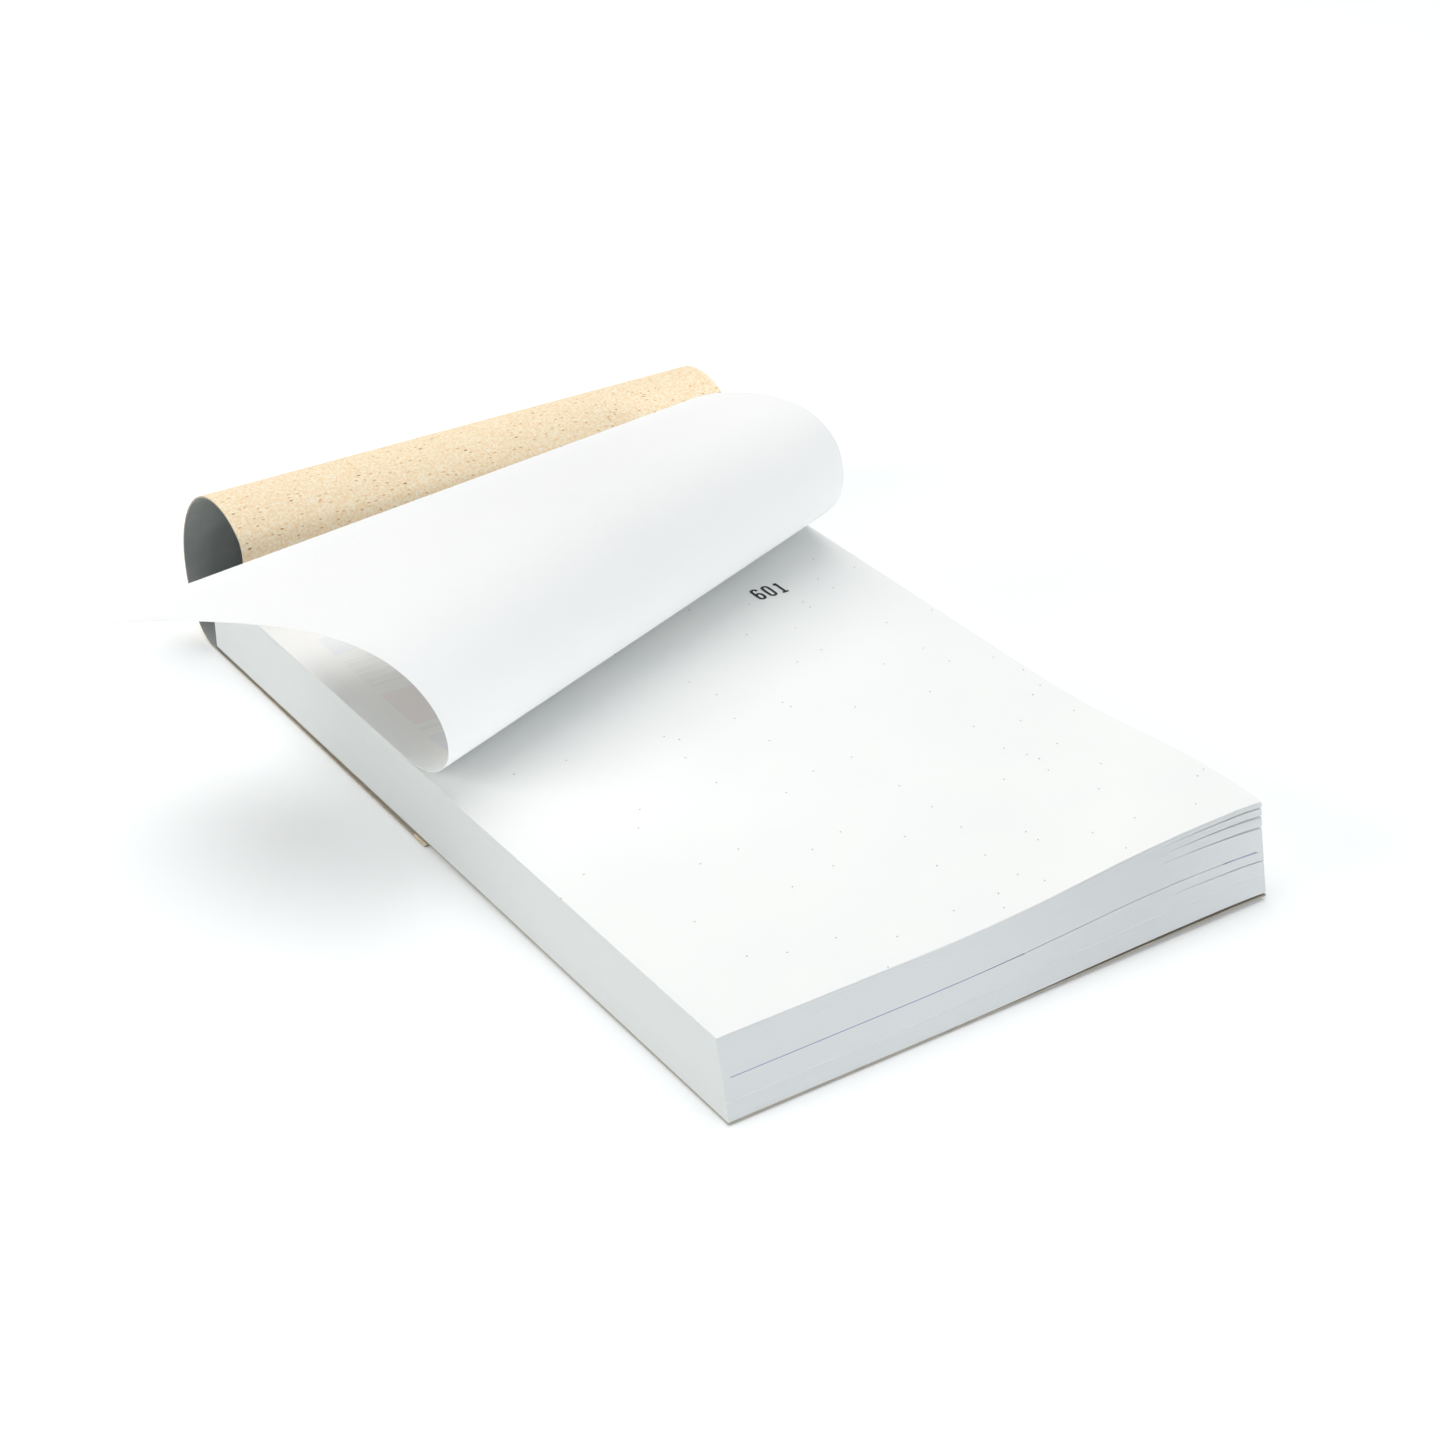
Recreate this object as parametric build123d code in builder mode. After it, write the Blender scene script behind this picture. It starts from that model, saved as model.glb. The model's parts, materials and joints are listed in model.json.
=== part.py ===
"""Duplicate receipt book: a head-bound pad of numbered leaves, lying open with its top original turned back.

Frame: millimetres, +Z up from the table. The origin is the middle of the head's lower edge, on the table.
The pad runs from the head at y = 0 to the foot at y = -page_length, and X runs across the page.
"""
from math import asin, ceil, cos, degrees, radians, sin
import os

from build123d import *

# Page and pad
page_width = 105.0
page_length = 170.0
stub_depth = 15.0
cut_draw = 3.3
first_number = 601
last_number = 700
sets_per_bundle = 4
bundle_thickness = 0.496
turning_bundles = 3
leaf_thickness = 0.1
leaf_clearance = 0.1
perforation_gap = 0.2

# Card, tape and wire
card_thickness = 0.3
tape_thickness = 0.15
tape_lap = 5.5
staple_wire = 0.4
staple_crown = 12.0
staple_spacing = 52.0
staple_from_head = 9.5
staple_clinch = 4.5
hole_clearance = 0.1
cover_clearance = 0.15
foot_clearance = 0.05

# Raised corner: the layers part at the foot's right-hand corner and bend along slanting lines across it
corner_lift_board = 0.5
corner_lift_bottom = 1.0
corner_fan = 0.06
corner_slit = 0.25
slit_bundles = (17, 19, 21, 23)
corner_slant = 40.0
corner_tip_share = 0.75
corner_crest_reach = 6.0
corner_end_reach = 46.0

# Cover, turned right round the head and tucked under the pad
flap_reach = 80.7
loop_toe = 1.35
loop_heel_radius = 8.0
loop_heel_turn = 58.0
loop_back_radius = 19.7
loop_back_turn = 81.5
loop_crown_radius = 14.3
loop_crown_turn = 78.0
loop_brow_radius = 4.8
loop_brow_turn = 57.0
loop_front_length = 10.7

# Loose carbon sheet, kept between the leaves
carbon_width = 102.0
carbon_length = 148.0
carbon_gauge = 0.1
bundles_under_carbon = 13

# Turned sheet: flat from the crease to where it leaves the page, then rolled up in stretches
# Each stretch has its run along the sheet's left edge, its run along the right edge, and its turn
lift_left = 60.0
lift_right = 17.7
roll_stretches = (
    (30.0, 38.1, 93.6),
    (18.0, 13.1, 68.8),
    (12.0, 6.9, 19.2),
    (31.7, 7.9, 13.2),
    (16.0, 5.8, 19.0),
    (26.0, 20.8, 144.8),
    (41.0, 41.4, 25.0),
)
largest_fold = 12.0
shortest_ruling = 1.5

os.makedirs("parts", exist_ok=True)


def keep(builder, name):
    """Label a finished piece and write it."""
    builder.part.label = name
    export_step(builder.part, f"parts/{name}.step")


# The pad lies with its head on the tucked cover and its foot on the table
half_width = page_width / 2
head_height = card_thickness + staple_wire + cover_clearance
tilt = degrees(asin((head_height - foot_clearance) / page_length))
pad_plane = Plane.XY.offset(head_height).rotated((tilt, 0, 0))
side_plane = Plane(origin=pad_plane.origin, x_dir=pad_plane.y_dir, z_dir=pad_plane.x_dir)

# Heights of the layers, from the backing board's underside up
leaves_bottom = card_thickness
bundle_count = ceil((last_number - first_number) / sets_per_bundle)
carbon_slot = carbon_gauge + 2 * leaf_clearance
carbon_bottom = leaves_bottom + bundles_under_carbon * bundle_thickness + leaf_clearance
fixed_bundles = bundle_count - turning_bundles
fixed_top = leaves_bottom + fixed_bundles * bundle_thickness + carbon_slot
turning_pitch = bundle_thickness + leaf_clearance
stack_top = fixed_top + leaf_clearance + turning_bundles * turning_pitch
pad_top = stack_top + leaf_thickness
through_pad = 2 * pad_top
crease = -stub_depth - perforation_gap
sheet_length = page_length - stub_depth - cut_draw
staple_places = [(-staple_spacing / 2, -staple_from_head), (staple_spacing / 2, -staple_from_head)]


def corner_lift(place):
    """Lift of the raised corner by place in the stack: a steady fan, wider at a few slits."""
    slits = sum(1 for bundle in slit_bundles if bundle <= place)
    return corner_lift_bottom + corner_fan * place + corner_slit * slits


def foot_of(height):
    """Where a layer at this height ends at the foot: upper leaves are cut a little shorter."""
    return -page_length + cut_draw * height / pad_top


def corner_bend(lift, height):
    """A layer's bend, from the level page up to its crest and down to the page's corner."""
    middle = (corner_crest_reach + corner_end_reach) / 2
    foot_arc = TangentArc((corner_end_reach, height), (middle, height + lift / 2), tangent=(-1, 0))
    crest_arc = TangentArc(foot_arc @ 1, (corner_crest_reach, height + lift), tangent=foot_arc % 1)
    return TangentArc(crest_arc @ 1, (0, height + corner_tip_share * lift), tangent=crest_arc % 1)


# Holes that the staples' legs pass through
with BuildSketch(pad_plane) as staple_holes:
    for x, y in staple_places:
        with Locations((x - staple_crown / 2, y), (x + staple_crown / 2, y)):
            Rectangle(staple_wire + hole_clearance, staple_wire + hole_clearance)

# Layers of the pad: name, head end, bottom, thickness, corner lift, width, foot end, whether it is stapled
carbon_foot = foot_of(carbon_bottom)
carbon_end = carbon_foot + carbon_length
carbon_lift = corner_lift(bundles_under_carbon - 0.5)
duplicate_name = f"duplicate_{first_number}"
top_lift = corner_lift(bundle_count)
duplicate_foot = foot_of(stack_top)
layers = [
    ("backing_board", 0, 0, card_thickness, corner_lift_board, page_width, foot_of(0), True),
    ("carbon_sheet", carbon_end, carbon_bottom, carbon_gauge, carbon_lift, carbon_width, carbon_foot, False),
    (duplicate_name, crease, stack_top, leaf_thickness, top_lift, page_width, duplicate_foot, False),
]
for index in range(bundle_count):
    highest = last_number - index * sets_per_bundle
    lowest = max(highest - sets_per_bundle + 1, first_number + 1)
    name = f"leaves_{lowest}_{highest}"
    bound = index < fixed_bundles
    head = 0 if bound else crease
    bottom = leaves_bottom + index * bundle_thickness
    if index >= bundles_under_carbon:
        bottom += carbon_slot
    if not bound:
        bottom = fixed_top + leaf_clearance + (index - fixed_bundles) * turning_pitch
    lift = corner_lift(index)
    layers.append((name, head, bottom, bundle_thickness, lift, page_width, foot_of(bottom), bound))

# Each layer is a bent strip, trimmed to the page
slant = radians(corner_slant)
inwards = pad_plane.y_dir * cos(slant) - pad_plane.x_dir * sin(slant)
bend_line = pad_plane.x_dir * cos(slant) + pad_plane.y_dir * sin(slant)
for name, head, bottom, thickness, lift, width, foot, stapled in layers:
    corner = pad_plane.from_local_coords((half_width, -page_length, bottom))
    with BuildPart() as layer:
        with BuildSketch(Plane(origin=corner, x_dir=inwards, z_dir=bend_line)):
            with BuildLine():
                under = corner_bend(lift, 0)
                over = corner_bend(lift, thickness)
                Line(under @ 1, over @ 1)
                Polyline(
                    (corner_end_reach, 0),
                    (2 * page_length, 0),
                    (2 * page_length, thickness),
                    (corner_end_reach, thickness),
                )
            make_face()
        extrude(amount=2 * page_length, both=True)
        with BuildSketch(pad_plane.offset(bottom)):
            with Locations((0, (head + foot) / 2)):
                Rectangle(width, head - foot)
        extrude(amount=lift + 2 * thickness, mode=Mode.INTERSECT)
        if stapled:
            extrude(staple_holes.sketch, amount=through_pad, mode=Mode.SUBTRACT)
    keep(layer, name)

# Stubs of the turning leaves, held by the staples
with BuildPart() as bound_stubs:
    with BuildSketch(pad_plane.offset(fixed_top)):
        with Locations((0, -stub_depth / 2)):
            Rectangle(page_width, stub_depth)
    extrude(amount=pad_top - fixed_top)
    extrude(staple_holes.sketch, amount=through_pad, mode=Mode.SUBTRACT)
keep(bound_stubs, "bound_stubs")

# Cover: the edge that is stapled to the stubs
with BuildPart() as cover_binding_edge:
    with BuildSketch(pad_plane.offset(pad_top)):
        with Locations((0, -stub_depth / 2)):
            Rectangle(page_width, stub_depth)
    extrude(amount=card_thickness)
    extrude(staple_holes.sketch, amount=through_pad, mode=Mode.SUBTRACT)
keep(cover_binding_edge, "cover_binding_edge")

# Cover: the loop that stands over the head, from the table up and over to the crease
with BuildPart() as cover_loop:
    with BuildSketch(Plane.YZ):
        with BuildLine():
            heel = JernArc((loop_toe, card_thickness / 2), (1, 0), loop_heel_radius, loop_heel_turn)
            back = JernArc(heel @ 1, heel % 1, loop_back_radius, loop_back_turn)
            crown = JernArc(back @ 1, back % 1, loop_crown_radius, loop_crown_turn)
            brow = JernArc(crown @ 1, crown % 1, loop_brow_radius, loop_brow_turn)
            Line(brow @ 1, brow @ 1 + brow % 1 * loop_front_length)
        trace(line_width=card_thickness)
    extrude(amount=half_width, both=True)
keep(cover_loop, "cover_loop")

# Cover: the part that is tucked under the pad
with BuildPart() as cover_flap:
    with BuildSketch(Plane.XY):
        with Locations((0, (loop_toe - flap_reach) / 2)):
            Rectangle(page_width, flap_reach + loop_toe)
    extrude(amount=card_thickness)
keep(cover_flap, "cover_flap")

# Binding tape round the head
tape_top = pad_top + card_thickness
with BuildPart() as spine_tape:
    with BuildSketch(side_plane):
        with BuildLine():
            Polyline(
                (-tape_lap, -tape_thickness),
                (tape_thickness, -tape_thickness),
                (tape_thickness, tape_top + tape_thickness),
                (-tape_lap, tape_top + tape_thickness),
                (-tape_lap, tape_top),
                (0, tape_top),
                (0, 0),
                (-tape_lap, 0),
                close=True,
            )
        make_face()
    extrude(amount=half_width, both=True)
keep(spine_tape, "spine_tape")

# Two staples through the stubs, clinched under the backing board
staple_row = pad_plane.from_local_coords((0, -staple_from_head, 0))
staple_top = pad_top + card_thickness + staple_wire / 2
staple_bottom = -staple_wire / 2
with BuildPart() as staples:
    for x, _ in staple_places:
        with BuildLine(Plane(origin=staple_row, x_dir=pad_plane.x_dir, z_dir=-pad_plane.y_dir)) as wire:
            FilletPolyline(
                (x - staple_crown / 2 + staple_clinch, staple_bottom),
                (x - staple_crown / 2, staple_bottom),
                (x - staple_crown / 2, staple_top),
                (x + staple_crown / 2, staple_top),
                (x + staple_crown / 2, staple_bottom),
                (x + staple_crown / 2 - staple_clinch, staple_bottom),
                radius=staple_wire / 2,
            )
        with BuildSketch(Plane(origin=wire.line @ 0, x_dir=pad_plane.y_dir, z_dir=wire.line % 0)):
            Rectangle(staple_wire, staple_wire)
        sweep(path=wire.line, transition=Transition.RIGHT)
keep(staples, "staples")

# Turned sheet: a flat frame that is folded over and over, along rulings that run across the sheet
sheet_middle = pad_top + leaf_clearance + leaf_thickness / 2
free_end = crease - sheet_length
middle = pad_plane.from_local_coords((0, 0, sheet_middle))
across = pad_plane.x_dir
upwards = pad_plane.y_dir
left = crease - lift_left
right = crease - lift_right
folds = []
for left_run, right_run, turn in roll_stretches:
    count = ceil(turn / largest_fold)
    folds += [(left_run / count, right_run / count, turn / count)] * count

# Turned sheet: the flat part from the crease to where it lifts, then the roll from ruling to ruling
with BuildPart() as original:
    with BuildSketch(pad_plane.offset(sheet_middle - leaf_thickness / 2)):
        with BuildLine():
            Polyline(
                (-half_width, crease),
                (half_width, crease),
                (half_width, right),
                (-half_width, left),
                close=True,
            )
        make_face()
    extrude(amount=leaf_thickness)
    for left_run, right_run, turn in [(0, 0, 0)] + folds:
        share = min(1, (right - free_end - shortest_ruling) / right_run) if right_run else 0
        hinge = middle + across * -half_width + upwards * (left - share * left_run / 2)
        hinge_end = middle + across * half_width + upwards * (right - share * right_run / 2)
        fold_line = Axis((0, 0, 0), hinge_end - hinge)
        middle = hinge + (middle - hinge).rotate(fold_line, -turn)
        across = across.rotate(fold_line, -turn)
        upwards = upwards.rotate(fold_line, -turn)
        left -= share * left_run
        right -= share * right_run
        start_x = -half_width + page_width * max(0, free_end - left) / (right - left)
        start = middle + across * start_x + upwards * max(left, free_end)
        end = middle + across * half_width + upwards * right
        ruling = end - start
        travel = across.cross(upwards).cross(ruling)
        with BuildSketch(Plane(origin=(start + end) / 2, x_dir=ruling, z_dir=travel)):
            Rectangle(ruling.length, leaf_thickness)
        if share < 1 and right_run:
            break
    loft(ruled=True)
keep(original, f"original_{first_number}")
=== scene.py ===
import json
from math import asin, cos, pi, radians, sin

import bmesh
import bpy
import numpy as np
from mathutils import Matrix, Vector


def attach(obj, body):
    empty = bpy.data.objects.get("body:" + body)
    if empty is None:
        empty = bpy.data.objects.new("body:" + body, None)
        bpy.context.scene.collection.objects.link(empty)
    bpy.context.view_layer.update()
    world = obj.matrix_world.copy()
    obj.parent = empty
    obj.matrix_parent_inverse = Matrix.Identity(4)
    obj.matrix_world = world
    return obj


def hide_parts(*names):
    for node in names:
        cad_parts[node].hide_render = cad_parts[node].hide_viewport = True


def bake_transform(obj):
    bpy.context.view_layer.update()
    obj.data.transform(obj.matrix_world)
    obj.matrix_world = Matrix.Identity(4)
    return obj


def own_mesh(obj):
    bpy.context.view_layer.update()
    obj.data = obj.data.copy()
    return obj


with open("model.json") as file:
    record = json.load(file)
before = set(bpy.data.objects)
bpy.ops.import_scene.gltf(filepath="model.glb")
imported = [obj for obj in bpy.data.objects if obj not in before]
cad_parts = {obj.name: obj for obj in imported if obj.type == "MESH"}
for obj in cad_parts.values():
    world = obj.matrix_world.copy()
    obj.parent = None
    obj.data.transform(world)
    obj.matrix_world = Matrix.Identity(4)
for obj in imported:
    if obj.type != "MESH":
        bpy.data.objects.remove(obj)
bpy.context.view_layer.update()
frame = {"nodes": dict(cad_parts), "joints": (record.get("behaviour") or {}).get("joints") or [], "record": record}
nodes = frame["nodes"]
joints = {joint["name"]: joint for joint in frame["joints"]}

# Sizes of the real object, in metres
MM = 0.001
PAGE_WIDTH = 105 * MM
PAGE_LENGTH = 170 * MM
HALF_WIDTH = PAGE_WIDTH / 2
FOOT_CLEARANCE = 0.05 * MM
CARD = 0.3 * MM
LEAF = 0.1 * MM
CARBON_SIDE = 51.2 * MM

# Leaves of the pad: how they are cut, and what stays open between them
LEAVES_PER_BUNDLE = 8
CUT_DRAW = 3.3 * MM
FOOT_RAGGED = 0.02 * MM
SIDE_RAGGED = 0.015 * MM
LEAF_GAP = 0.003 * MM
BUNDLE_GAP = 0.005 * MM
LONG_LEAF = 3.4 * MM
LONG_BY = 0.12 * MM
LEVEL_EDGE = -0.9 * HALF_WIDTH
RAGGED_SEED = 601

# Cover: the flap under the pad, then the arcs of the loop, then the front and the fold at the crease
FLAP_REACH = 80.7 * MM
LOOP_TOE = 1.35 * MM
LOOP_ARCS = ((8.0 * MM, 58.0), (19.7 * MM, 81.5), (14.3 * MM, 78.0), (4.8 * MM, 57.0))
CREASE_RADIUS = 0.5 * MM
STUB_END = 15.2 * MM
FLAP_OUT = 0.6 * MM
EDGE_BAND = 0.5 * MM
KRAFT_END = 2.5 * MM
FLAP_STEPS, ARC_STEPS, FRONT_STEPS, FOLD_STEPS = 40, 25, 14, 8
CARD_COLUMNS = 21

# Turned sheet: flat as far as its lift at the left and right edge, then rolled up in stretches
# Each stretch has its run along the left edge, its run along the right edge, and its turn in degrees
SHEET_LENGTH = 151.7 * MM
LIFT_LEFT = 60.0 * MM
LIFT_RIGHT = 17.7 * MM
ROLL = (
    (30.0 * MM, 38.1 * MM, 93.6),
    (18.0 * MM, 13.1 * MM, 68.8),
    (12.0 * MM, 6.9 * MM, 19.2),
    (31.7 * MM, 7.9 * MM, 13.2),
    (16.0 * MM, 5.8 * MM, 19.0),
    (26.0 * MM, 20.8 * MM, 144.8),
    (41.0 * MM, 41.4 * MM, 25.0),
)
RULING_STEP = 0.5 * MM
EASING = 8.0 * MM
EASING_SAMPLES = 33
SHEET_COLUMNS, SHEET_ROWS = 72, 190

# Number on the page
NUMBER_PLACE = (31.1 * MM, -59.6 * MM)
DIGIT_HEIGHT = 3.9 * MM
DIGIT_WIDTH = 1.55 * MM
DIGIT_PITCH = 2.4 * MM
DIGIT_STROKE = 0.58 * MM
DIGIT_STEPS = 7
INK_HEIGHT = 0.02 * MM

# Raised corner: the leaves bend along slanting lines across the foot's right-hand corner, and part at its tip
# Each slit has its place in the stack, from the lowest leaf up, and its share of the parting
CORNER_SLANT = radians(40)
CORNER_TIP_SHARE = 0.75
CORNER_CREST_REACH = 6 * MM
CORNER_END_REACH = 46 * MM
LOWEST_LIFT = 1.0 * MM
HIGHEST_LIFT = 3.5 * MM
SLITS = ((0.39, 0.16), (0.77, 0.30), (0.87, 0.30), (0.94, 0.24))
SLIT_REACH = 15 * MM
PARTED_SHARE = 0.85
CORNER_CUTS = (1.5, 3, 4.5, 6, 8, 10, 13, 17, 22, 28, 34, 40, 46)  # in millimetres from the tip
CORNER = Vector((HALF_WIDTH, -PAGE_LENGTH, 0))
INWARDS = Vector((-sin(CORNER_SLANT), cos(CORNER_SLANT), 0))

# Colours: a dark and a light shade of each material, which lie in soft patches or in a weave
PAPER_SHADES = ((0.93, 0.94, 0.935), (0.945, 0.955, 0.945))
# The leaf edges' grey is partly the cut edges' own colour and partly painted shade: it is kept darker than the
# paper so that the pad's foot and left faces look dim under the front lamp
LEAF_EDGE_AND_SHADE_GREYS = ((0.765, 0.785, 0.79), (0.785, 0.805, 0.81))
KRAFT_SHADES = ((0.92, 0.70, 0.44), (0.99, 0.875, 0.67))
SLATE_SHADES = ((0.40, 0.42, 0.40), (0.50, 0.52, 0.50))
CARD_EDGE_SHADES = ((0.42, 0.36, 0.29), (0.56, 0.49, 0.41))
BOARD_SHADES = ((0.36, 0.32, 0.26), (0.47, 0.43, 0.36))
TAPE_SHADES = ((0.020, 0.028, 0.085), (0.035, 0.048, 0.13))
STEEL_SHADES = ((0.50, 0.50, 0.50), (0.66, 0.66, 0.65))
CARBON_SHADES = ((0.19, 0.22, 0.44), (0.23, 0.26, 0.48))
INK_SHADES = ((0.004, 0.004, 0.004), (0.03, 0.028, 0.028))
TAPE_THREAD = 0.35 * MM
BUMP_DEPTH = 0.05 * MM

# Flecks: each kind has its spacing, its size, the share of places that have one, and its colour
PAGE_FLECKS = (
    (8 * MM, 0.15 * MM, 0.45, (0.36, 0.27, 0.20)),
    (15 * MM, 0.16 * MM, 0.35, (0.20, 0.19, 0.19)),
)
KRAFT_FIBRES = (
    (1.0 * MM, 0.26 * MM, 0.40, (0.68, 0.42, 0.20)),
    (2.2 * MM, 0.28 * MM, 0.20, (0.34, 0.19, 0.09)),
    (1.3 * MM, 0.26 * MM, 0.45, (0.98, 0.94, 0.86)),
)
KRAFT_FLECK = (5.0 * MM, 0.34 * MM, 0.30, (0.05, 0.04, 0.04))
SLATE_FLECK = (2.6 * MM, 0.26 * MM, 0.25, (0.50, 0.51, 0.49))
FIBRE_STRETCH = (0.6, 1.6, 1.6)
FLECK_CORE = 0.6

# Form printed inside the turned sheet, with its faint show-through on the outside
# Each panel has its left, right, top and bottom in shares of the sheet, its colour, and its stripes if any:
# the axis that they are counted along, their count on the whole sheet and the share of each that is printed
TINT_BEIGE = (0.945, 0.94, 0.92)
TINT_RED = (0.945, 0.85, 0.845)
TINT_GREY = (0.895, 0.895, 0.885)
TINT_BLUE = (0.86, 0.875, 0.93)
TINT_LINE = (0.74, 0.76, 0.80)
FORM = (
    ((0.03, 0.97, 0.02, 0.97), TINT_BEIGE, None),
    ((0.06, 0.40, 0.10, 0.145), TINT_BLUE, None),
    ((0.06, 0.40, 0.165, 0.235), TINT_GREY, ("Y", 70, 0.8)),
    ((0.06, 0.40, 0.255, 0.335), TINT_RED, None),
    ((0.06, 0.40, 0.345, 0.35), TINT_GREY, None),
    ((0.06, 0.40, 0.365, 0.43), TINT_BLUE, ("X", 9, 0.85)),
    ((0.06, 0.40, 0.45, 0.60), TINT_GREY, None),
    ((0.46, 0.94, 0.06, 0.16), TINT_RED, None),
    ((0.46, 0.94, 0.20, 0.86), TINT_LINE, ("Y", 26, 0.07)),
    ((0.46, 0.94, 0.88, 0.94), TINT_BLUE, None),
)
FORM_LAYER = "sheet"
SHOW_THROUGH = 0.03

# Stage: each lamp has its name, place, aim, width, watts and colour
LAMPS = (
    ("key", (0.1, 0.15, 1.2), (0, -0.08, 0), 1.4, 11.0, (1.0, 0.995, 0.98)),
    ("front", (0.5, -1.4, 0.15), (0, -0.08, 0.02), 0.28, 6.6, (0.94, 0.97, 1.0)),
    ("left", (-1.34, 0.18, 0.52), (0, -0.06, 0.02), 0.8, 7.6, (1.0, 1.0, 0.95)),
)
WORLD_STRENGTH = 0.3
FLOOR_REACH = 6.0
FLOOR_HEIGHT = -0.0002
FLOOR_GLOW = 0.22
FLOOR_COLOUR = (0.86, 0.88, 0.89, 1)
WORLD_COLOUR = (0.95, 0.98, 1, 1)
CAMERA_LENS = 72.53
CAMERA_SENSOR = 36.0
CAMERA_NEAR = 0.01
CAMERA_PITCH = 30.46
CAMERA_AZIMUTH = 33.96
CAMERA_PLACE = (-238.87 * MM, -444.46 * MM, 263.07 * MM)

# Pad plane: its origin is the head's lower edge, and it slopes down to the foot
head = Vector(joints["pad_turn"]["pos_m"])
tilt = asin((head.z - FOOT_CLEARANCE) / PAGE_LENGTH)
PAD_Y = Vector((0, cos(tilt), sin(tilt)))
PAD_UP = Vector((0, -sin(tilt), cos(tilt)))
crease_point = Vector(joints["leaf_turn"]["pos_m"]) - head
crease = crease_point.dot(PAD_Y)
page_top = crease_point.dot(PAD_UP)


def on_pad(x, along, up):
    """A point of the pad: across it, along it from the head, and up from the backing board's underside."""
    return head + Vector((x, 0, 0)) + PAD_Y * along + PAD_UP * up


# Materials


class Nodes:
    """A material's node tree, with short calls for the nodes used here."""

    def __init__(self, name, roughness):
        self.material = bpy.data.materials.new(name)
        self.material.use_nodes = True
        self.tree = self.material.node_tree
        self.shader = self.tree.nodes["Principled BSDF"]
        self.shader.inputs["Roughness"].default_value = roughness
        self.place = self.add("ShaderNodeTexCoord").outputs["Object"]

    def add(self, kind, **settings):
        node = self.tree.nodes.new(kind)
        for key, value in settings.items():
            setattr(node, key, value)
        return node

    def link(self, source, target):
        if hasattr(source, "is_output"):
            self.tree.links.new(source, target)
        else:
            target.default_value = source

    def math(self, operation, a, b=0.0):
        node = self.add("ShaderNodeMath", operation=operation)
        self.link(a, node.inputs[0])
        self.link(b, node.inputs[1])
        return node.outputs[0]

    def stretched(self, scale):
        """The object's own coordinates, scaled differently along each axis."""
        node = self.add("ShaderNodeMapping")
        node.inputs["Scale"].default_value = scale
        self.link(self.place, node.inputs["Vector"])
        return node.outputs["Vector"]

    def noise(self, scale, detail=3.0, where=None):
        node = self.add("ShaderNodeTexNoise")
        node.inputs["Scale"].default_value = scale
        node.inputs["Detail"].default_value = detail
        self.link(where or self.place, node.inputs["Vector"])
        return node.outputs["Fac"]

    def between(self, value, low, high):
        """0 where value is at low, 1 where it is at high, and a straight ramp between them."""
        node = self.add("ShaderNodeMapRange")
        self.link(value, node.inputs["Value"])
        node.inputs["From Min"].default_value = low
        node.inputs["From Max"].default_value = high
        return node.outputs["Result"]

    def mix(self, amount, a, b):
        node = self.add("ShaderNodeMix", data_type="RGBA")
        self.link(amount, node.inputs["Factor"])
        for colour, target in ((a, node.inputs[6]), (b, node.inputs[7])):
            self.link(colour if hasattr(colour, "is_output") else (*colour, 1.0), target)
        return node.outputs[2]

    def flecked(self, colour, kind, where=None, dimensions="3D"):
        """A colour with flecks of one kind in it."""
        spacing, size, share, ink = kind
        cells = self.add("ShaderNodeTexVoronoi", voronoi_dimensions=dimensions)
        cells.inputs["Scale"].default_value = 1 / spacing
        self.link(where or self.place, cells.inputs["Vector"])
        near = self.between(cells.outputs["Distance"], size / spacing, FLECK_CORE * size / spacing)
        picked = self.add("ShaderNodeSeparateColor")
        self.link(cells.outputs["Color"], picked.inputs["Color"])
        chosen = self.math("LESS_THAN", picked.outputs["Red"], share)
        return self.mix(self.math("MULTIPLY", near, chosen), colour, ink)

    def mottled(self, scale, detail, shades, low=0.3, high=0.7):
        """Two shades of a colour in soft patches."""
        return self.mix(self.between(self.noise(scale, detail), low, high), *shades)

    def finish(self, colour, height=None, bump=0.1):
        """The finished material: its colour, and a bump from a height."""
        self.link(colour, self.shader.inputs["Base Color"])
        if height is not None:
            node = self.add("ShaderNodeBump")
            node.inputs["Strength"].default_value = bump
            node.inputs["Distance"].default_value = BUMP_DEPTH
            self.link(height, node.inputs["Height"])
            self.link(node.outputs["Normal"], self.shader.inputs["Normal"])
        return self.material

    def finish_paper(self, colour):
        return self.finish(colour, self.noise(scale=2500, detail=4), bump=0.12)

    def finish_card(self, colour):
        return self.finish(colour, self.noise(scale=1600, detail=4), bump=0.2)


def paper_colour(made):
    """White paper with a faint cloudiness."""
    return made.mottled(scale=60, detail=4, shades=PAPER_SHADES, low=0.35, high=0.65)


def page_paper():
    """The page on top: a few brown and dark specks lie in it."""
    made = Nodes("page_paper", roughness=0.85)
    colour = paper_colour(made)
    for kind in PAGE_FLECKS:
        colour = made.flecked(colour, kind, dimensions="2D")
    return made.finish_paper(colour)


def inner_paper():
    """Faces of the leaves inside the pad."""
    made = Nodes("inner_paper", roughness=0.85)
    return made.finish_paper(paper_colour(made))


def leaf_edges_and_shade():
    """Cut edges of many leaves: fine, faint streaks along the page, on a grey that is partly the edges' own colour
    and partly painted shade for the pad's foot and left faces.
    """
    made = Nodes("leaf_edges_and_shade", roughness=0.9)
    fine = made.noise(scale=1.0, detail=2, where=made.stretched((25, 25, 9000)))
    broad = made.noise(scale=1.0, detail=3, where=made.stretched((30, 30, 1600)))
    streaks = made.math("ADD", made.math("MULTIPLY", fine, 0.6), made.math("MULTIPLY", broad, 0.4))
    colour = made.mix(made.between(streaks, low=0.36, high=0.56), *LEAF_EDGE_AND_SHADE_GREYS)
    return made.finish(colour, made.noise(scale=3000, detail=3), bump=0.1)


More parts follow.
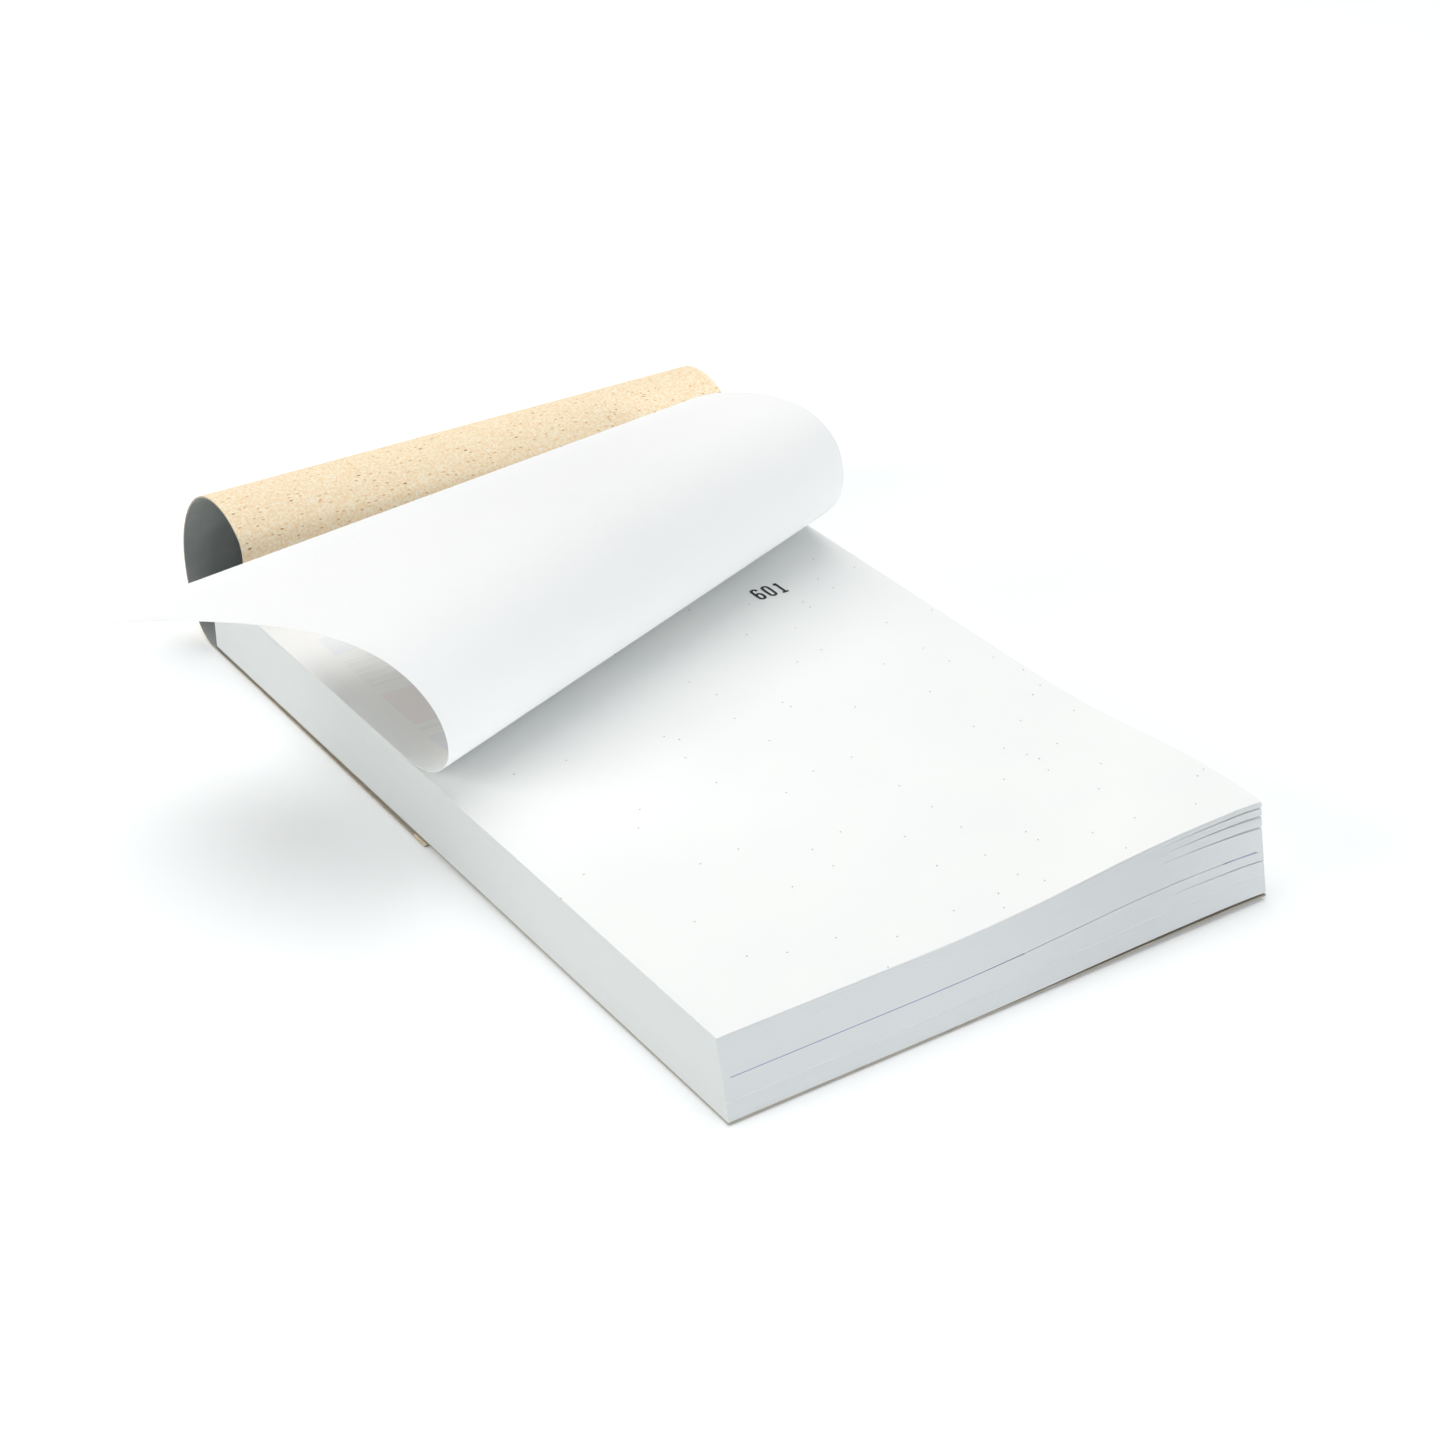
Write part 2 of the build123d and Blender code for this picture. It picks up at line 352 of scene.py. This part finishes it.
def printed_form(made, colour, strength):
    """A plain form in pale colours: panels, a table, a bar and ruled lines."""
    split = made.add("ShaderNodeSeparateXYZ")
    made.link(made.add("ShaderNodeUVMap", uv_map=FORM_LAYER).outputs["UV"], split.inputs["Vector"])
    across, down = split.outputs["X"], split.outputs["Y"]
    for (left, right, top, bottom), ink, stripes in FORM:
        mask = made.math("GREATER_THAN", across, left)
        others = (("LESS_THAN", across, right), ("GREATER_THAN", down, top), ("LESS_THAN", down, bottom))
        for side in others:
            mask = made.math("MULTIPLY", mask, made.math(*side))
        if stripes:
            axis, count, share = stripes
            phase = made.math("FRACT", made.math("MULTIPLY", split.outputs[axis], count))
            mask = made.math("MULTIPLY", mask, made.math("LESS_THAN", phase, share))
        colour = made.mix(made.math("MULTIPLY", mask, strength), colour, ink)
    return colour


def sheet_face(name, strength):
    """A face of the turned sheet: thin paper that lets some light through."""
    made = Nodes(name, roughness=0.85)
    made.shader.inputs["Subsurface Weight"].default_value = 0.8
    made.shader.inputs["Subsurface Radius"].default_value = (1.0, 0.98, 0.95)
    made.shader.inputs["Subsurface Scale"].default_value = 0.2 * MM
    return made.finish_paper(printed_form(made, paper_colour(made), strength))


def kraft_card():
    """Kraft side of the cover: warm pale card with a fine brown grain and a few dark and white flecks."""
    made = Nodes("kraft_card", roughness=0.82)
    colour = made.mottled(scale=2000, detail=5, shades=KRAFT_SHADES, low=0.38, high=0.62)
    along_fibres = made.stretched(FIBRE_STRETCH)
    for kind in KRAFT_FIBRES:
        colour = made.flecked(colour, kind, along_fibres)
    return made.finish_card(made.flecked(colour, KRAFT_FLECK))


def slate_card():
    """Grey side of the cover."""
    made = Nodes("slate_card", roughness=0.75)
    colour = made.mottled(scale=220, detail=5, shades=SLATE_SHADES)
    return made.finish_card(made.flecked(colour, SLATE_FLECK))


def card_edge():
    """Cut edge of the cover: the kraft and the slate side seen edge-on."""
    made = Nodes("card_edge", roughness=0.85)
    return made.finish_card(made.mottled(scale=700, detail=4, shades=CARD_EDGE_SHADES))


def board_card():
    """Backing board: plain brown-grey card."""
    made = Nodes("board_card", roughness=0.85)
    return made.finish_card(made.mottled(scale=260, detail=5, shades=BOARD_SHADES))


def navy_tape():
    """Binding tape: a fine woven cloth."""
    made = Nodes("navy_tape", roughness=0.7)
    weave = made.add("ShaderNodeTexChecker")
    weave.inputs["Scale"].default_value = 1 / TAPE_THREAD
    made.link(made.place, weave.inputs["Vector"])
    colour = made.mix(weave.outputs["Fac"], *TAPE_SHADES)
    return made.finish(colour, weave.outputs["Fac"], bump=0.4)


def staple_steel():
    """Bare staple wire."""
    made = Nodes("staple_steel", roughness=0.35)
    made.shader.inputs["Metallic"].default_value = 1.0
    colour = made.mix(made.noise(scale=700, detail=3), *STEEL_SHADES)
    return made.finish(colour, made.noise(scale=3000, detail=2), bump=0.1)


def carbon_blue():
    """Coated side of the carbon sheet."""
    made = Nodes("carbon_blue", roughness=0.5)
    colour = made.mottled(scale=120, detail=4, shades=CARBON_SHADES, low=0.4, high=0.6)
    return made.finish(colour, made.noise(scale=2500, detail=3), bump=0.15)


def number_ink():
    """Black printing ink, a little uneven."""
    made = Nodes("number_ink", roughness=0.6)
    return made.finish(made.mottled(scale=3500, detail=3, shades=INK_SHADES, low=0.45, high=0.75))


# Mesh making


def add_object(name, data, place=(0, 0, 0), turn=(0, 0, 0)):
    """A new object in the scene."""
    made = bpy.data.objects.new(name, data)
    made.location = place
    made.rotation_euler = turn
    bpy.context.scene.collection.objects.link(made)
    return made


def mesh_piece(name, vertices, faces, materials, face_slots=None):
    """A new mesh object, shaded smooth apart from its sharp edges."""
    mesh = bpy.data.meshes.new(name)
    mesh.from_pydata([tuple(v) for v in vertices], [], faces)
    for material in materials:
        mesh.materials.append(material)
    if face_slots is not None:
        mesh.polygons.foreach_set("material_index", face_slots)
    piece = add_object(name, mesh)
    soften(piece)
    return piece


def soften(piece, limit=radians(35)):
    """Smooth shading, with edges sharper than the limit kept crisp."""
    made = bmesh.new()
    made.from_mesh(piece.data)
    for face in made.faces:
        face.smooth = True
    for edge in made.edges:
        edge.smooth = len(edge.link_faces) == 2 and edge.calc_face_angle(pi) < limit
    made.to_mesh(piece.data)
    made.free()


def finish_node(name, material):
    """A CAD node that stays as it is gets its material."""
    mesh = nodes[name].data
    mesh.materials.clear()
    mesh.materials.append(material)


def grid_rim(rows, columns):
    """The points round the edge of a grid of points, as pairs that follow each other."""
    rim = [row * columns for row in range(rows)]
    rim += [(rows - 1) * columns + column for column in range(1, columns)]
    rim += [row * columns + columns - 1 for row in range(rows - 2, -1, -1)]
    rim += range(columns - 2, 0, -1)
    return zip(rim, rim[1:] + rim[:1])


def sheet_strip(name, path, materials, thickness, skew, face_slot):
    """A strip of card across the page that follows a path of (y, z) points: one face inside, one outside.

    Skew moves it aside by y, and face_slot picks the material of its left-hand border on the inside by y.
    """
    points = np.array(path)
    steps = np.gradient(points, axis=0)
    steps /= np.linalg.norm(steps, axis=1)[:, None]
    normals = np.stack([-steps[:, 1], steps[:, 0]], axis=1)
    columns = np.array([-HALF_WIDTH, *np.linspace(EDGE_BAND - HALF_WIDTH, HALF_WIDTH, CARD_COLUMNS)])
    vertices = []
    for side in (1, -1):
        for (y, z), (ny, nz) in zip(points, normals):
            for x in columns:
                vertices.append((x + skew(y), y + side * ny * thickness / 2, z + side * nz * thickness / 2))
    rows, across = len(points), len(columns)
    count = rows * across
    faces, slots = [], []
    for row in range(rows - 1):
        for column in range(across - 1):
            a = row * across + column
            b = a + across
            faces.append((a, a + 1, b + 1, b))
            slots.append(face_slot(points[row][0]) if column == 0 else 0)
            faces.append((count + a, count + b, count + b + 1, count + a + 1))
            slots.append(1)
    for a, b in grid_rim(rows, across):
        faces.append((a, b, count + b, count + a))
        slots.append(2)
    return mesh_piece(name, vertices, faces, materials, slots)


# Pieces


def cover_path():
    """The cover's middle line in (y, z): from the flap's free end, round the head, to the binding edge."""
    path = [(y, CARD / 2) for y in np.linspace(-FLAP_REACH, LOOP_TOE, FLAP_STEPS)]
    y, z, heading = LOOP_TOE, CARD / 2, 0.0
    binding_up = head.z + page_top + CARD / 2
    for radius, turn in LOOP_ARCS:
        centre_y, centre_z = y - radius * sin(heading), z + radius * cos(heading)
        for share in np.linspace(0, 1, ARC_STEPS)[1:]:
            angle = heading + radians(turn) * share
            path.append((centre_y + radius * sin(angle), centre_z - radius * cos(angle)))
        heading += radians(turn)
        y, z = path[-1]
    front = z - binding_up - CREASE_RADIUS
    fold_y = y + front * cos(heading) / -sin(heading)
    for share in np.linspace(0, 1, FRONT_STEPS)[1:]:
        path.append((y + (fold_y - y) * share, z - front * share))
    for angle in np.linspace(0, pi / 2, FOLD_STEPS)[1:]:
        along, up = CREASE_RADIUS * (1 - cos(angle)), CREASE_RADIUS * (1 - sin(angle))
        path.append((fold_y + along, binding_up + up))
    for y in np.linspace(fold_y + CREASE_RADIUS, 0, FOLD_STEPS)[1:]:
        path.append((y, binding_up + y * sin(tilt)))
    return path


def flap_skew(y):
    """How far the tucked flap lies out to the left of the pad: more towards its free end."""
    return -FLAP_OUT * min(1, max(0, -STUB_END - y) / (FLAP_REACH - STUB_END))


def flap_border(y):
    """Material of the slate side's border: the flap's crushed cut edge, kraft at its free end, or slate."""
    if y > -STUB_END:
        return 0
    return 1 if y < KRAFT_END - FLAP_REACH else 2


def build_cover():
    """The cover in one piece, from its flap on the table round the head to its binding edge: it is attached to no
    body.
    """
    materials = [slate_card(), kraft_card(), card_edge()]
    cover = sheet_strip("cover_card", cover_path(), materials, CARD, flap_skew, flap_border)
    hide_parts("cover_flap", "cover_loop", "cover_binding_edge")
    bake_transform(cover)


def corner_shape(reach):
    """How far a layer is raised at a reach from the corner's tip: 0 on the level page, 1 at the crest."""
    middle = (CORNER_CREST_REACH + CORNER_END_REACH) / 2
    span = middle - CORNER_CREST_REACH
    rising = 0.5 * ((CORNER_END_REACH - reach).clip(0) / span) ** 2
    arched = 1 - 0.5 * ((reach - CORNER_CREST_REACH) / span) ** 2
    falling = 1 - (1 - CORNER_TIP_SHARE) * (1 - reach / CORNER_CREST_REACH) ** 2
    return np.where(reach > middle, rising, np.where(reach > CORNER_CREST_REACH, arched, falling))


def corner_lift(place, reach):
    """Lift of a leaf by its place in the stack: an even fan that gathers into a few slits near the tip."""
    parted = (1 - PARTED_SHARE) * place + PARTED_SHARE * sum(share for at, share in SLITS if at <= place)
    near_tip = np.clip(1 - reach / SLIT_REACH, 0, 1)
    share = place + (parted - place) * near_tip
    return (LOWEST_LIFT + (HIGHEST_LIFT - LOWEST_LIFT) * share) * corner_shape(reach)


def leaf_outline(start, end, left, right):
    """A flat leaf from its head end to its foot: points, faces and rim.

    It is cut along the lines where its corner bends.
    """
    made = bmesh.new()
    corners = ((left, end), (right, end), (right, start), (left, start))
    made.faces.new([made.verts.new((x, along, 0)) for x, along in corners])
    for reach in CORNER_CUTS:
        place = CORNER + INWARDS * reach * MM
        geometry = [*made.verts, *made.edges, *made.faces]
        bmesh.ops.bisect_plane(made, geom=geometry, plane_co=place, plane_no=INWARDS)
    made.verts.index_update()
    points = np.array([v.co for v in made.verts])
    faces = [[v.index for v in face.verts] for face in made.faces]
    loops = [loop for face in made.faces for loop in face.loops if len(loop.edge.link_faces) == 1]
    rim = [(loop.vert.index, loop.link_loop_next.vert.index) for loop in loops]
    made.free()
    return points, faces, rim


def loose_leaves(name, body, materials, head_end, bottom, top, rng, drop):
    """A bundle's leaves, each a thin sheet, cut and knocked up not quite evenly.

    Above the carbon sheet the lowest leaf hangs down beside it by a drop, which is 0 elsewhere.
    """
    leaf = (top - bottom) / LEAVES_PER_BUNDLE
    vertices, faces, slots = [], [], []

    def add_layer(outline, low, high, place):
        points, flat, rim = outline
        lift = corner_lift(place, (points - np.array(CORNER)) @ np.array(INWARDS))
        start, count = len(vertices), len(points)
        for height in (low, high):
            vertices.extend(on_pad(x, y, height + up) for (x, y, _), up in zip(points, lift))
        faces.extend([start + v for v in reversed(face)] for face in flat)
        faces.extend([start + count + v for v in face] for face in flat)
        faces.extend([start + a, start + b, start + count + b, start + count + a] for a, b in rim)
        slots.extend([0] * (2 * len(flat)) + [1] * len(rim))

    for index in range(LEAVES_PER_BUNDLE):
        under = bottom + index * leaf
        foot = -PAGE_LENGTH + CUT_DRAW * under / page_top + rng.uniform(0, FOOT_RAGGED)
        if under <= LONG_LEAF < under + leaf:
            foot -= LONG_BY
        side = HALF_WIDTH - rng.uniform(0, SIDE_RAGGED)
        place = (under - CARD) / (page_top - LEAF - CARD)
        add_layer(leaf_outline(head_end, foot, -side, side), under, under + leaf - LEAF_GAP, place)
        if index == 0 and drop:
            for left, right in ((-side, -CARBON_SIDE), (CARBON_SIDE, side)):
                add_layer(leaf_outline(head_end, foot, left, right), under - drop + LEAF_GAP, under, place)
    piece = mesh_piece(f"{name}_loose", vertices, faces, materials, slots)
    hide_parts(name)
    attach(piece, body)


def settle(gap):
    """How far a bundle swells into a gap beside it: nearly to the carbon sheet, or half a plain gap."""
    return (gap - LEAF) / 2 - LEAF_GAP if gap > 2 * LEAF else max(0, gap / 2 - BUNDLE_GAP)


def build_leaves(faces, edges):
    """All leaves of the pad. Loose leaves settle, so those beside a gap swell into most of it."""
    rng = np.random.default_rng(RAGGED_SEED)
    bundles = []
    for body, members in frame["record"]["behaviour"]["bodies"].items():
        for name in (member for member in members if member.startswith("leaves_")):
            edge = [v.co - head for v in nodes[name].data.vertices if v.co.x < LEVEL_EDGE]
            rise = [spot.dot(PAD_UP) for spot in edge]
            head_end = max(spot.dot(PAD_Y) for spot in edge)
            bundles.append((min(rise), max(rise), head_end, name, body))
    bundles.sort()
    tops = [CARD] + [bundle[1] for bundle in bundles]
    bottoms = [bundle[0] for bundle in bundles] + [page_top - LEAF]
    gaps = [bottom - top for bottom, top in zip(bottoms, tops)]
    for (bottom, top, head_end, name, body), below, above in zip(bundles, gaps, gaps[1:]):
        bottom, top = bottom - settle(below), top + settle(above)
        drop = below - 2 * settle(below)
        loose_leaves(name, body, [faces, edges], head_end, bottom, top, rng, drop if drop > LEAF else 0)


def sheet_rulings():
    """The roll's rulings: where each meets the left and the right edge, and its turn in degrees."""
    left, right, turn = np.cumsum([(0, 0, 0), *ROLL], axis=0).T
    places = np.arange(-EASING, left[-1], RULING_STEP)
    window = np.linspace(-EASING / 2, EASING / 2, EASING_SAMPLES)
    eased = np.interp(places[:, None] + window, left, turn).mean(axis=1)
    fan = right[1] / left[1]
    on_right = np.where(places < 0, places * fan, np.interp(places, left, right))
    return LIFT_LEFT + places, LIFT_RIGHT + on_right, np.gradient(eased)


def sheet_points(columns, rows):
    """The turned sheet as a grid of points: a flat sheet, folded a little along each of its rulings."""
    widths, lengths = np.linspace(-HALF_WIDTH, HALF_WIDTH, columns), np.linspace(0, SHEET_LENGTH, rows)
    across, along = np.meshgrid(widths, lengths)
    flat = np.stack([across, crease - along, np.zeros_like(across), np.ones_like(across)], axis=-1)
    share = across / PAGE_WIDTH + 0.5
    folded = Matrix.Identity(4)
    steps = [np.array(folded)]
    passed = np.zeros(across.shape, dtype=int)
    for left, right, turn in zip(*sheet_rulings()):
        start = Vector((-HALF_WIDTH, crease - left, 0))
        ruling = Vector((HALF_WIDTH, crease - right, 0)) - start
        fold = Matrix.Rotation(radians(-turn), 4, ruling)
        folded = folded @ Matrix.Translation(start) @ fold @ Matrix.Translation(-start)
        steps.append(np.array(folded))
        passed += along > left + (right - left) * share
    local = np.einsum("rcij,rcj->rci", np.array(steps)[passed], flat)[..., :3]
    base = on_pad(0, 0, page_top + 1.5 * LEAF)
    return np.array(base) + local @ np.array(((1, 0, 0), PAD_Y, PAD_UP)), across, along


def build_turned_sheet():
    """The original of the top set, printed on its inner face."""
    columns, rows = SHEET_COLUMNS, SHEET_ROWS
    points, across, along = sheet_points(columns, rows)
    normals = np.cross(np.gradient(points, axis=1), -np.gradient(points, axis=0))
    normals /= np.linalg.norm(normals, axis=-1)[..., None]
    inner = (points + normals * LEAF / 2).reshape(-1, 3)
    outer = (points - normals * LEAF / 2).reshape(-1, 3)
    count = columns * rows
    faces, slots = [], []
    for row in range(rows - 1):
        for column in range(columns - 1):
            a = row * columns + column
            b = a + columns
            faces.append((a, b, b + 1, a + 1))
            slots.append(0)
            faces.append((count + a, count + a + 1, count + b + 1, count + b))
            slots.append(1)
    for a, b in grid_rim(rows, columns):
        faces.append((b, a, count + a, count + b))
        slots.append(1)
    materials = [sheet_face("printed_face", 1.0), sheet_face("plain_face", SHOW_THROUGH)]
    sheet = mesh_piece("original_sheet", np.concatenate([inner, outer]), faces, materials, slots)
    layer = sheet.data.uv_layers.new(name=FORM_LAYER)
    place = np.stack([(across / PAGE_WIDTH + 0.5).ravel(), (along / SHEET_LENGTH).ravel()], axis=1)
    place = np.concatenate([place, place])
    for loop in sheet.data.loops:
        layer.data[loop.index].uv = place[loop.vertex_index]
    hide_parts("original_601")
    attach(sheet, "set_601")
    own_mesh(sheet)


def stroke_points(corners, closed):
    """A smooth line through a digit's corners: a Catmull-Rom curve."""
    count = len(corners)
    line = []
    spans = count if closed else count - 1
    for span in range(spans):
        picks = [span - 1, span, span + 1, span + 2]
        if closed:
            picks = [pick % count for pick in picks]
        else:
            picks = [min(max(pick, 0), count - 1) for pick in picks]
        p0, p1, p2, p3 = (np.array(corners[pick]) for pick in picks)
        bend, twist = 2 * p0 - 5 * p1 + 4 * p2 - p3, 3 * p1 - p0 - 3 * p2 + p3
        for t in np.linspace(0, 1, DIGIT_STEPS)[:-1]:
            line.append(0.5 * (2 * p1 + (p2 - p0) * t + bend * t**2 + twist * t**3))
    if not closed:
        line.append(np.array(corners[-1]))
    return np.array(line)


# Each digit's strokes in a box 0.5 wide and 1 tall: corner points and whether the line closes
DIGITS = {
    "6": (
        (((0.42, 0.80), (0.38, 0.93), (0.25, 0.97), (0.12, 0.93), (0.06, 0.78),
          (0.06, 0.22), (0.12, 0.07), (0.25, 0.03), (0.38, 0.07), (0.44, 0.20),
          (0.44, 0.38), (0.38, 0.51), (0.25, 0.55), (0.12, 0.49), (0.07, 0.40)), False),
    ),
    "0": (
        (((0.06, 0.78), (0.06, 0.22), (0.12, 0.07), (0.25, 0.03), (0.38, 0.07),
          (0.44, 0.22), (0.44, 0.78), (0.38, 0.93), (0.25, 0.97), (0.12, 0.93)), True),
    ),
    "1": (
        (((0.27, 0.98), (0.27, 0.5), (0.27, 0.03)), False),
        (((0.27, 0.98), (0.20, 0.88), (0.10, 0.82)), False),
        (((0.05, 0.03), (0.27, 0.03), (0.47, 0.03)), False),
    ),
}


def build_number():
    """The set's number, printed on the page: flat strokes a hair above the paper."""
    vertices, faces = [], []
    left, bottom = NUMBER_PLACE[0] - DIGIT_PITCH - DIGIT_WIDTH / 2, NUMBER_PLACE[1] - DIGIT_HEIGHT / 2
    scale = np.array((2 * DIGIT_WIDTH, DIGIT_HEIGHT))
    for place, digit in enumerate("601"):
        for corners, closed in DIGITS[digit]:
            line = stroke_points(corners, closed) * scale + np.array((left + place * DIGIT_PITCH, bottom))
            if closed:
                steps = np.roll(line, -1, axis=0) - np.roll(line, 1, axis=0)
            else:
                steps = np.gradient(line, axis=0)
            steps /= np.linalg.norm(steps, axis=1)[:, None]
            normal = np.stack([-steps[:, 1], steps[:, 0]], axis=1) * DIGIT_STROKE / 2
            start = len(vertices)
            for point, aside in zip(line, normal):
                for x, y in (point + aside, point - aside):
                    vertices.append(on_pad(x, y, page_top + INK_HEIGHT))
            count = len(line)
            for index in range(count if closed else count - 1):
                a, b = start + 2 * index, start + 2 * ((index + 1) % count)
                faces.append((a, a + 1, b + 1, b))
    number = mesh_piece("set_number", vertices, faces, [number_ink()])
    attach(number, "set_601")


# Stage


def build_floor():
    """A pale floor that stays white to the camera but keeps the object's soft shadow."""
    floor = bpy.data.meshes.new("floor")
    corners = [(x * FLOOR_REACH, y * FLOOR_REACH, 0) for x, y in ((-1, -1), (1, -1), (1, 1), (-1, 1))]
    floor.from_pydata(corners, [], [(0, 1, 2, 3)])
    ground = add_object("floor", floor, (0, 0, FLOOR_HEIGHT))
    made = Nodes("floor_white", roughness=0.9)
    made.shader.inputs["Base Color"].default_value = FLOOR_COLOUR
    made.shader.inputs["Specular IOR Level"].default_value = 0.0
    made.shader.inputs["Emission Color"].default_value = (1, 1, 1, 1)
    glow = made.math("MULTIPLY", seen_rays(made.tree), FLOOR_GLOW)
    made.link(glow, made.shader.inputs["Emission Strength"])
    floor.materials.append(made.material)


def seen_rays(tree):
    """1 for the rays that show the background: the camera's, and those that metal and glass send on."""
    path = tree.nodes.new("ShaderNodeLightPath")
    seen = path.outputs["Is Camera Ray"]
    for kind in ("Is Glossy Ray", "Is Transmission Ray"):
        either = tree.nodes.new("ShaderNodeMath")
        either.operation = "MAXIMUM"
        tree.links.new(seen, either.inputs[0])
        tree.links.new(path.outputs[kind], either.inputs[1])
        seen = either.outputs[0]
    return seen


def build_world():
    """Soft light from all round, which looks white."""
    world = bpy.data.worlds.new("studio")
    world.use_nodes = True
    bpy.context.scene.world = world
    tree = world.node_tree
    background = tree.nodes["Background"]
    background.inputs["Color"].default_value = WORLD_COLOUR
    strength = tree.nodes.new("ShaderNodeMapRange")
    strength.inputs["To Min"].default_value = WORLD_STRENGTH
    strength.inputs["To Max"].default_value = 1.0
    tree.links.new(seen_rays(tree), strength.inputs["Value"])
    tree.links.new(strength.outputs["Result"], background.inputs["Strength"])


def build_lamps():
    """A broad key overhead, and smaller lamps at the front and the left."""
    for name, place, aim, width, power, colour in LAMPS:
        lamp = bpy.data.lights.new(name, "AREA")
        lamp.shape = "DISK"
        lamp.size = width
        lamp.energy = power
        lamp.color = colour
        turn = (Vector(aim) - Vector(place)).to_track_quat("-Z", "Y").to_euler()
        add_object(name, lamp, place, turn)


def build_camera():
    """The camera at the photo's viewing angle."""
    camera = bpy.data.cameras.new("camera")
    camera.lens = CAMERA_LENS
    camera.sensor_width = CAMERA_SENSOR
    camera.clip_start = CAMERA_NEAR
    turn = (radians(90 - CAMERA_PITCH), 0, radians(-CAMERA_AZIMUTH))
    bpy.context.scene.camera = add_object("camera", camera, CAMERA_PLACE, turn)
    bpy.context.scene.view_settings.view_transform = "Standard"


# Leaf edges: their grey is partly their own colour and partly painted shade for the pad's foot and left faces
edges = leaf_edges_and_shade()
build_cover()
build_leaves(inner_paper(), edges)
build_turned_sheet()
build_number()
finish_node("duplicate_601", page_paper())
finish_node("bound_stubs", edges)
finish_node("backing_board", board_card())
finish_node("spine_tape", navy_tape())
finish_node("staples", staple_steel())
finish_node("carbon_sheet", carbon_blue())
build_floor()
build_world()
build_lamps()
build_camera()
